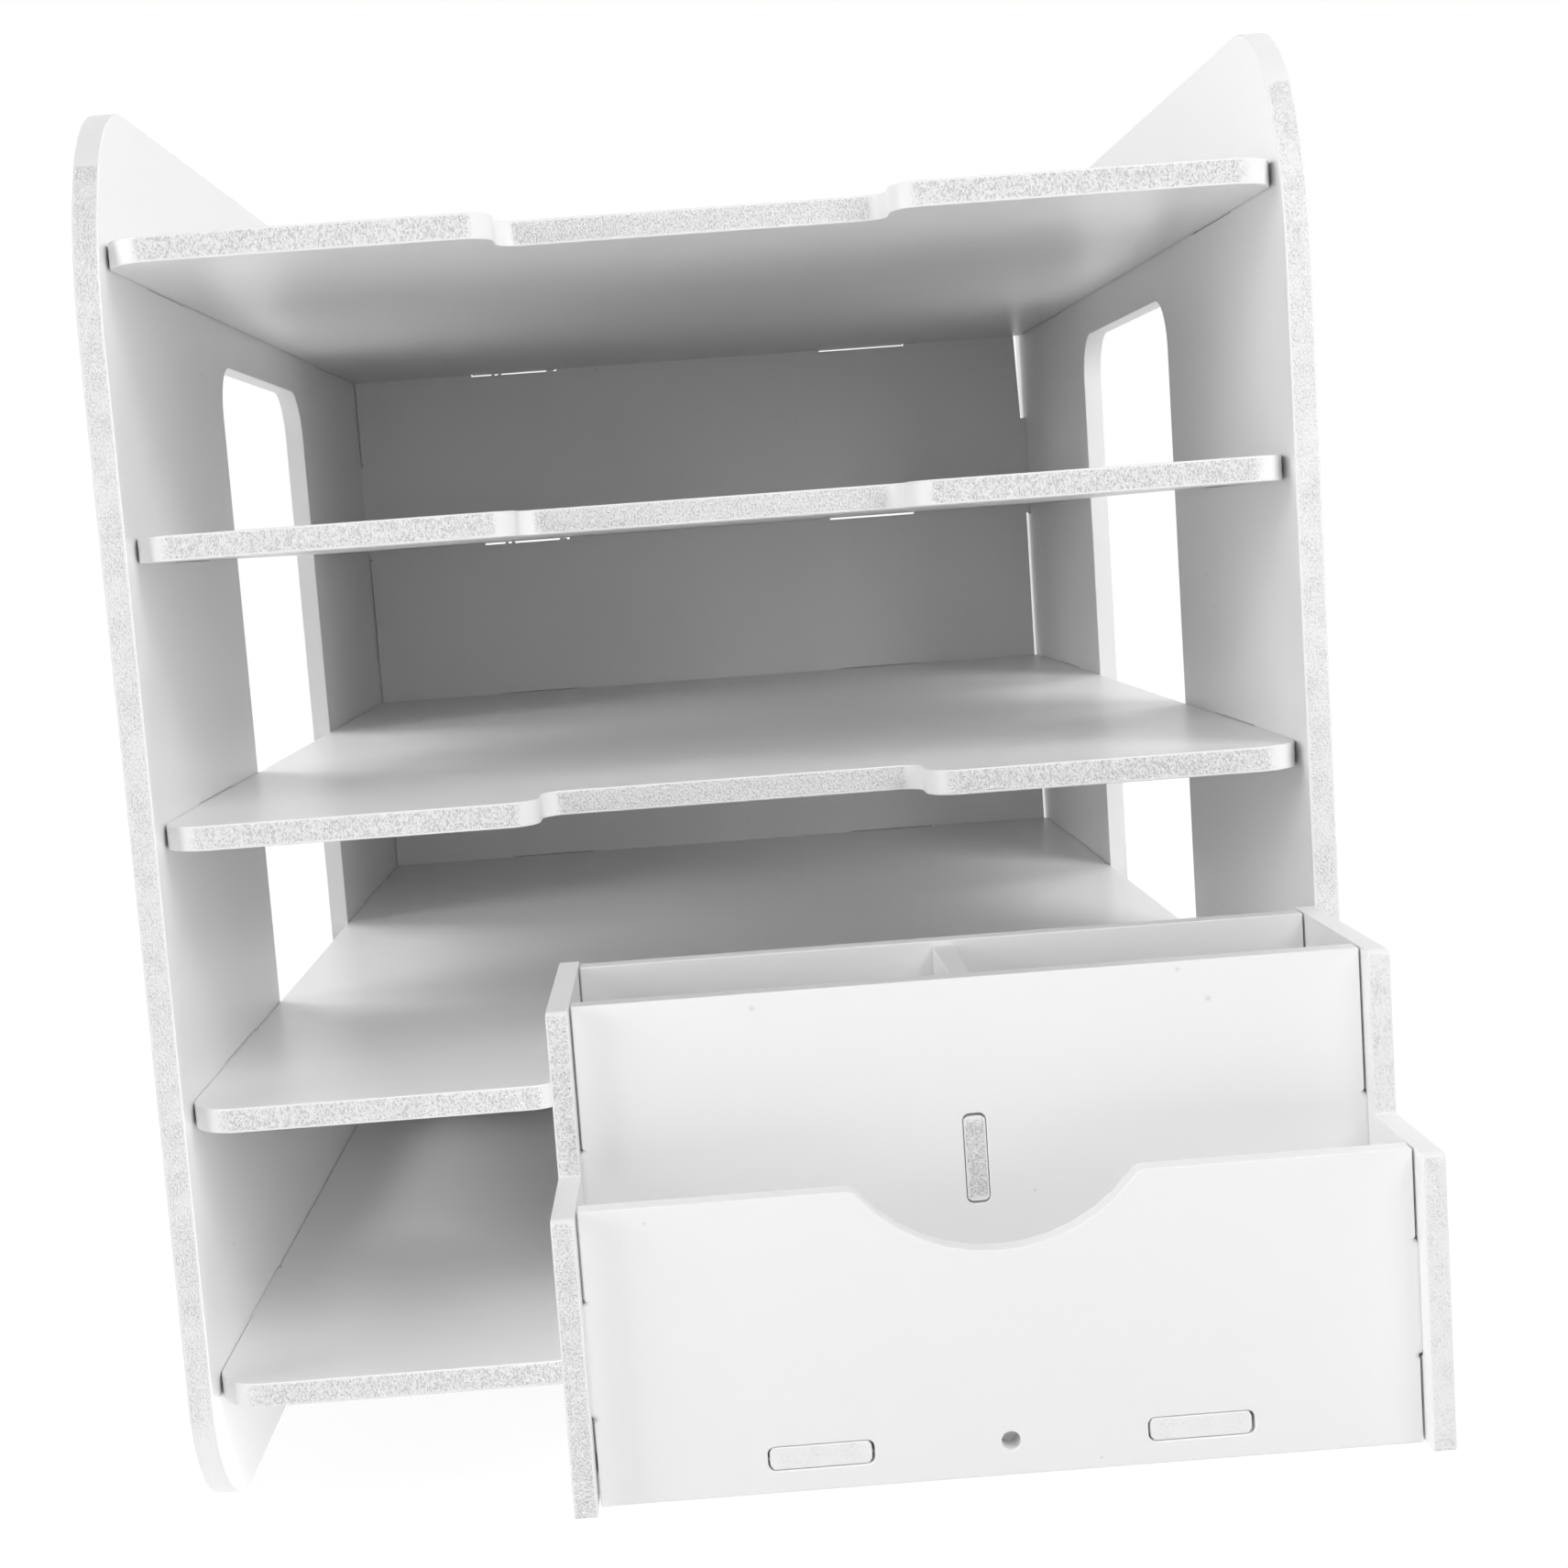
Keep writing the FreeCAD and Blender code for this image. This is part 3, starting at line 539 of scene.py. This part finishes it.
def side_panel(node, low):
    """Side panel with its window and slots; the front's top corner is a wide and a tight arc."""
    outline = [
        (PANEL_FRONT, 0.0, PANEL_FRONT_ROUND),
        (PANEL_REAR, 0.0, PANEL_REAR_ROUND),
        (PANEL_REAR, PANEL_TOP, PANEL_REAR_ROUND),
        (PANEL_FRONT + SWEEP_BACK, PANEL_TOP, PANEL_FRONT_ROUND),
        (PANEL_FRONT, SWEEP_LOW, SWEEP_ROUND),
    ]
    holes = [box_corners(*WINDOW, WINDOW_ROUND)]
    for top in SHELF_TOPS.values():
        holes += [flat_slot(*tab, top - BOARD, top) for tab in SIDE_TABS]
    holes += [upright_slot(BACK_FRONT, BACK_FRONT + BOARD, *tab) for tab in PANEL_TABS]
    rack_board(node, "X", low, outline, holes, sawn=0.5)


def shelf(node, top):
    outline = [
        (-SHELF_SIDE, SHELF_FRONT, SHELF_ROUND),
        (-SCOOP_SIDE, SHELF_FRONT, SCOOP_FRONT_ROUND),
        (-SCOOP_SIDE, SCOOP_BACK, SCOOP_BACK_ROUND),
        (SCOOP_SIDE, SCOOP_BACK, SCOOP_BACK_ROUND),
        (SCOOP_SIDE, SHELF_FRONT, SCOOP_FRONT_ROUND),
        (SHELF_SIDE, SHELF_FRONT, SHELF_ROUND),
        *tab_up(SHELF_SIDE, RACK_TAB_TIP, SIDE_TABS),
        (SHELF_SIDE, SHELF_REAR, NIB),
        *tab_back(SHELF_REAR, BACK_TAB_TIP, BACK_TABS),
        (-SHELF_SIDE, SHELF_REAR, NIB),
        *tab_down(-SHELF_SIDE, -RACK_TAB_TIP, SIDE_TABS),
    ]
    rack_board(node, "Z", top - BOARD, outline, [])


def back_panel():
    outline = [
        (BACK_LEFT, BACK_LOW, NIB),
        (BACK_RIGHT, BACK_LOW, NIB),
        *tab_up(BACK_RIGHT, RACK_TAB_TIP, PANEL_TABS)[:-1],
        (BACK_TOP_RIGHT, PANEL_TABS[-1][1], NIB, TAB_SOFT),
        (BACK_CORNER, BACK_TOP, NIB),
        (BACK_LEFT, BACK_TOP, NIB),
        *tab_down(BACK_LEFT, -RACK_TAB_TIP, PANEL_TABS),
    ]
    holes = [
        open_slot(start, stop, top - BOARD - BACK_SLOT_DROP, top + PLAY, crumbs)
        for top in SHELF_TOPS.values()
        for (start, stop), crumbs in zip(BACK_TABS, (CRUMBS, []))
    ]
    rack_board("back_panel", "Y", BACK_FRONT, outline, holes)


side_panel("left_side_panel", -PANEL_OUT)
side_panel("right_side_panel", PANEL_OUT - BOARD)
for shelf_node, shelf_top in SHELF_TOPS.items():
    shelf(shelf_node, shelf_top)
back_panel()


# --- drawer ---------------------------------------------------------------------------------

def drawer_board(node, across, low, outline, holes, sawn=1.0):
    cut_board(node + "_board", node, "drawer", across, low, THIN, outline, holes,
              drawer_finish, sawn)


def drawer_side(node, low, sawn):
    outline = [
        (DRAWER_FRONT, DRAWER_LOW, NIB),
        (DRAWER_REAR, DRAWER_LOW, NIB),
        (DRAWER_REAR, TRAY_TOP, END_ROUND),
        (TALL_REAR, TRAY_TOP, NIB),
        (TALL_REAR, TALL_TOP, END_ROUND),
        (TALL_FRONT, TALL_TOP, END_ROUND),
        (TALL_FRONT, LOW_TOP, NIB),
        (DRAWER_FRONT, LOW_TOP, END_ROUND),
    ]
    holes = [upright_slot(y, y + THIN, *tab) for y, tab in (
        (FRONT_BOARD, LOW_TAB), (MIDDLE_BOARD, TALL_TAB), (BACK_BOARD, TALL_TAB), (TRAY_END, LOW_TAB))]
    holes += [flat_slot(*tab, FLOOR_LOW, FLOOR_TOP) for tab in FLOOR_SIDE_TABS]
    drawer_board(node, "X", low, outline, holes, sawn)


def drawer_front():
    """Low front board: a wide round cutout between two small shoulders in its top edge."""
    outline = [
        (CROSS_LEFT, DRAWER_LOW, NIB),
        (CROSS_RIGHT, DRAWER_LOW, NIB),
        *tab_up(CROSS_RIGHT, TIP_RIGHT, [LOW_TAB]),
        (CROSS_RIGHT, LOW_TOP, NIB),
        (CROSS_MIDDLE + CUTOUT_SIDE, LOW_TOP, SHOULDER_ROUND),
        (CROSS_MIDDLE, LOW_TOP - CUTOUT_DROP, CUTOUT_ROUND),
        (CROSS_MIDDLE - CUTOUT_SIDE, LOW_TOP, SHOULDER_ROUND),
        (CROSS_LEFT, LOW_TOP, NIB),
        *tab_down(CROSS_LEFT, TIP_LEFT, [LOW_TAB]),
    ]
    middle = (FLOOR_LOW + FLOOR_TOP) / 2
    holes = [
        flat_slot(start + SLOT_SHIFT, stop + SLOT_SHIFT, FLOOR_LOW, FLOOR_TOP)
        for start, stop in FLOOR_TABS
    ]
    holes.append(box_corners(CROSS_MIDDLE - HOLE_RADIUS, middle - HOLE_RADIUS,
                             CROSS_MIDDLE + HOLE_RADIUS, middle + HOLE_RADIUS, HOLE_RADIUS * 0.99))
    drawer_board("drawer_front", "Y", FRONT_BOARD, outline, holes)


def tall_cross_board(node, low):
    outline = [
        (CROSS_LEFT, FLOOR_TOP + BOARD_GAP, NIB),
        (CROSS_RIGHT, FLOOR_TOP + BOARD_GAP, NIB),
        *tab_up(CROSS_RIGHT, TIP_RIGHT, [TALL_TAB]),
        (CROSS_RIGHT, TALL_TOP, NIB),
        (CROSS_LEFT, TALL_TOP, NIB),
        *tab_down(CROSS_LEFT, TIP_LEFT, [TALL_TAB]),
    ]
    half = THIN / 2
    low_end, high_end = DIVIDER_TAB
    slot = upright_slot(CROSS_MIDDLE - half, CROSS_MIDDLE + half,
                        low_end + SLOT_SHIFT, high_end + SLOT_SHIFT)
    drawer_board(node, "Y", low, outline, [slot], sawn=0.4)


def tray_end():
    outline = [
        (CROSS_LEFT, DRAWER_LOW, NIB),
        (CROSS_RIGHT, DRAWER_LOW, NIB),
        *tab_up(CROSS_RIGHT, TIP_RIGHT, [LOW_TAB]),
        (CROSS_RIGHT, TRAY_TOP, NIB),
        (CROSS_LEFT, TRAY_TOP, NIB),
        *tab_down(CROSS_LEFT, TIP_LEFT, [LOW_TAB]),
    ]
    holes = [flat_slot(*tab, FLOOR_LOW, FLOOR_TOP) for tab in FLOOR_TABS]
    drawer_board("drawer_tray_end", "Y", TRAY_END, outline, holes)


def divider():
    front = MIDDLE_BOARD + THIN + BOARD_GAP
    rear = BACK_BOARD - BOARD_GAP
    outline = [
        (front, FLOOR_TOP + BOARD_GAP, NIB),
        (rear, FLOOR_TOP + BOARD_GAP, NIB),
        *tab_up(rear, rear + THIN, [DIVIDER_TAB]),
        (rear, DIVIDER_TOP, NIB),
        (front, DIVIDER_TOP, NIB),
        *tab_down(front, front - THIN, [DIVIDER_TAB]),
    ]
    drawer_board("drawer_divider", "X", CROSS_MIDDLE - THIN / 2, outline, [])


def drawer_bottom():
    outline = [
        (FLOOR_LEFT, FLOOR_FRONT, NIB),
        *tab_front(FLOOR_FRONT, FLOOR_FRONT - THIN, FLOOR_TABS),
        (FLOOR_RIGHT, FLOOR_FRONT, NIB),
        *tab_up(FLOOR_RIGHT, TIP_RIGHT, FLOOR_SIDE_TABS),
        (FLOOR_RIGHT, FLOOR_REAR, NIB),
        *tab_back(FLOOR_REAR, FLOOR_REAR + THIN, FLOOR_TABS),
        (FLOOR_LEFT, FLOOR_REAR, NIB),
        *tab_down(FLOOR_LEFT, TIP_LEFT, FLOOR_SIDE_TABS),
    ]
    drawer_board("drawer_bottom", "Z", FLOOR_LOW, outline, [], sawn=0.3)


drawer_side("drawer_left_side", SIDE_LEFT, sawn=0.6)
drawer_side("drawer_right_side", SIDE_RIGHT, sawn=0.4)
drawer_front()
tall_cross_board("drawer_middle_board", MIDDLE_BOARD)
tall_cross_board("drawer_back_board", BACK_BOARD)
divider()
drawer_bottom()
tray_end()


# --- studio ---------------------------------------------------------------------------------

FLOOR_SIZE = 6.0
LIGHT_AIM = (0.0, -0.05, 0.15)
LIGHT_REACH = 1.9
SOFTBOX_SIZE = 0.9
SKY_LEVEL = 0.20                # light of the world, beside the white that the camera sees
FLOOR_SEEN = 0.9                # share of the white glow in what the camera sees of the floor


def studio_floor():
    """Pale floor that keeps a soft shadow and looks white, a little more so far away."""
    mesh = bpy.data.meshes.new("studio_floor")
    reach = FLOOR_SIZE / 2
    corners = [(-reach, -reach, 0), (reach, -reach, 0), (reach, reach, 0), (-reach, reach, 0)]
    mesh.from_pydata(corners, [], [(0, 1, 2, 3)])
    floor = bpy.data.objects.new("studio_floor", mesh)
    bpy.context.scene.collection.objects.link(floor)
    paint = Finish(bpy.data.materials.new("studio_floor"))
    place = paint.add("TexCoord", {}, {}, "Object")
    tone = paint.noise(place, 3.0, 2.0, 0.5) * 0.01 + 0.90
    matte = paint.add("BsdfDiffuse", {}, {"Color": paint.grey(tone)})
    away = paint.add("VectorMath", {"operation": "LENGTH"}, {0: place}, "Value")
    glow = paint.add("Emission", {}, {"Color": paint.grey(away.ease(0.5, 1.5, 1.04, 1.11))})
    surface = paint.add("MixShader", {}, {"Fac": paint.seen() * FLOOR_SEEN, 1: matte, 2: glow})
    paint.add("OutputMaterial", {}, {"Surface": surface})
    mesh.materials.append(paint.owner)
    return floor


def studio_sky(level):
    """Even soft light from all round, seen as white."""
    world = bpy.data.worlds.new("studio")
    bpy.context.scene.world = world
    sky = Finish(world)
    strength = sky.seen() * (1.0 - level) + level
    light = sky.add("Background", {}, {"Color": (1, 1, 1, 1), "Strength": strength})
    sky.add("OutputWorld", {}, {"Surface": light})


def gather(name, members):
    collection = bpy.data.collections.new(name)
    for member in members:
        collection.objects.link(member)
    return collection


def softbox(name, turn, lift, power, lights, shaded_by):
    """Square softbox aimed at the rack, turned and lifted in degrees from straight in front.

    lights is what it reaches, shaded_by what casts a shadow in its light, None for everything.
    """
    across, up = math.radians(turn), math.radians(lift)
    away = Vector((math.sin(across) * math.cos(up), -math.cos(across) * math.cos(up), math.sin(up)))
    lamp = bpy.data.lights.new(name, "AREA")
    lamp.shape = "SQUARE"
    lamp.size = SOFTBOX_SIZE
    lamp.energy = power
    box = bpy.data.objects.new(name, lamp)
    box.location = Vector(LIGHT_AIM) + away * LIGHT_REACH
    box.rotation_euler = (-away).to_track_quat("-Z", "Y").to_euler()
    box.light_linking.receiver_collection = lights
    box.light_linking.blocker_collection = shaded_by
    bpy.context.scene.collection.objects.link(box)


def studio_camera():
    """Low camera close in front, tipped down and rolled a little."""
    lens = bpy.data.cameras.new("camera")
    lens.sensor_width = 36.0
    lens.lens = 51.7
    lens.shift_x = 0.0347
    lens.clip_start = 0.01
    camera = bpy.data.objects.new("camera", lens)
    yaw, pitch, roll = math.radians(0.735), math.radians(-6.367), math.radians(-4.186)
    camera.matrix_world = (
        Matrix.Translation((-0.00621, -0.57331, 0.19377))
        @ Matrix.Rotation(-yaw, 4, "Z")
        @ Matrix.Rotation(math.pi / 2 + pitch, 4, "X")
        @ Matrix.Rotation(roll, 4, "Z")
    )
    bpy.context.scene.collection.objects.link(camera)
    bpy.context.scene.camera = camera


floor = studio_floor()
studio_sky(SKY_LEVEL)

left_panel, right_panel, *shelves, _ = boards["rack"]
left_side, right_side, front, middle, rear, parting, base, tray = boards["drawer"]
every_board = boards["rack"] + boards["drawer"]
outside = [left_panel, right_panel, shelves[-1], left_side, right_side]

left_panel_only = gather("left_panel_only", [left_panel])
left_side_only = gather("left_side_only", [left_side])
not_left = [board for board in every_board if board not in (left_panel, left_side)]
all_but_left = gather("all_but_left", not_left + [floor])
shell = gather("shell", outside)
within = gather("within", [board for board in every_board if board not in outside] + [floor])
rack_only = gather("rack_only", boards["rack"])
rack_and_floor = gather("rack_and_floor", boards["rack"] + [floor])
outer = gather("drawer_outside", [left_side, right_side, front, base])
inner = gather("drawer_inside", [middle, rear, parting, tray])
not_front = [board for board in boards["drawer"] if board is not front]
no_front = gather("drawer_without_front", not_front)

# name, turn, lift, power, what it lights, what shades it
SOFTBOXES = [
    # reach into the bays, and are weaker on the two boards that face them
    ("left_softbox", -70, 12, 15.6, all_but_left, None),
    ("left_shell_softbox", -70, 12, 9.5, left_panel_only, None),
    ("left_side_softbox", -70, 12, 8.5, left_side_only, None),
    ("left_side_front_softbox", 0, 12, 2.4, left_side_only, None),
    # fill the bays through the windows, and are weaker on the outside
    ("left_rear_softbox", -130, 40, 18.0, within, None),
    ("left_rear_shell_softbox", -130, 40, 7.5, shell, None),
    ("right_rear_softbox", 130, 40, 10.0, within, None),
    ("right_rear_shell_softbox", 130, 40, 7.5, shell, None),
    # light thrown up by the floor under the bottom shelf
    ("floor_bounce", 92, -35, 17.0, left_panel_only, rack_only),
    # light the rack's bays as evenly beside the drawer as above it
    ("rack_low_softbox", 35, 12, 9.5, rack_and_floor, rack_and_floor),
    ("rack_high_softbox", 40, 40, 13.3, rack_and_floor, rack_and_floor),
    # light the drawer; the front board keeps its shadow off the boards behind it
    ("drawer_front_softbox", 0, 40, 7.0, outer, None),
    ("drawer_high_softbox", 40, 40, 13.0, outer, None),
    ("inside_front_softbox", 0, 12, 7.5, inner, no_front),
    ("inside_high_softbox", 40, 40, 9.5, inner, no_front),
]
for softbox_row in SOFTBOXES:
    softbox(*softbox_row)
studio_camera()
bpy.context.scene.view_settings.view_transform = "Standard"
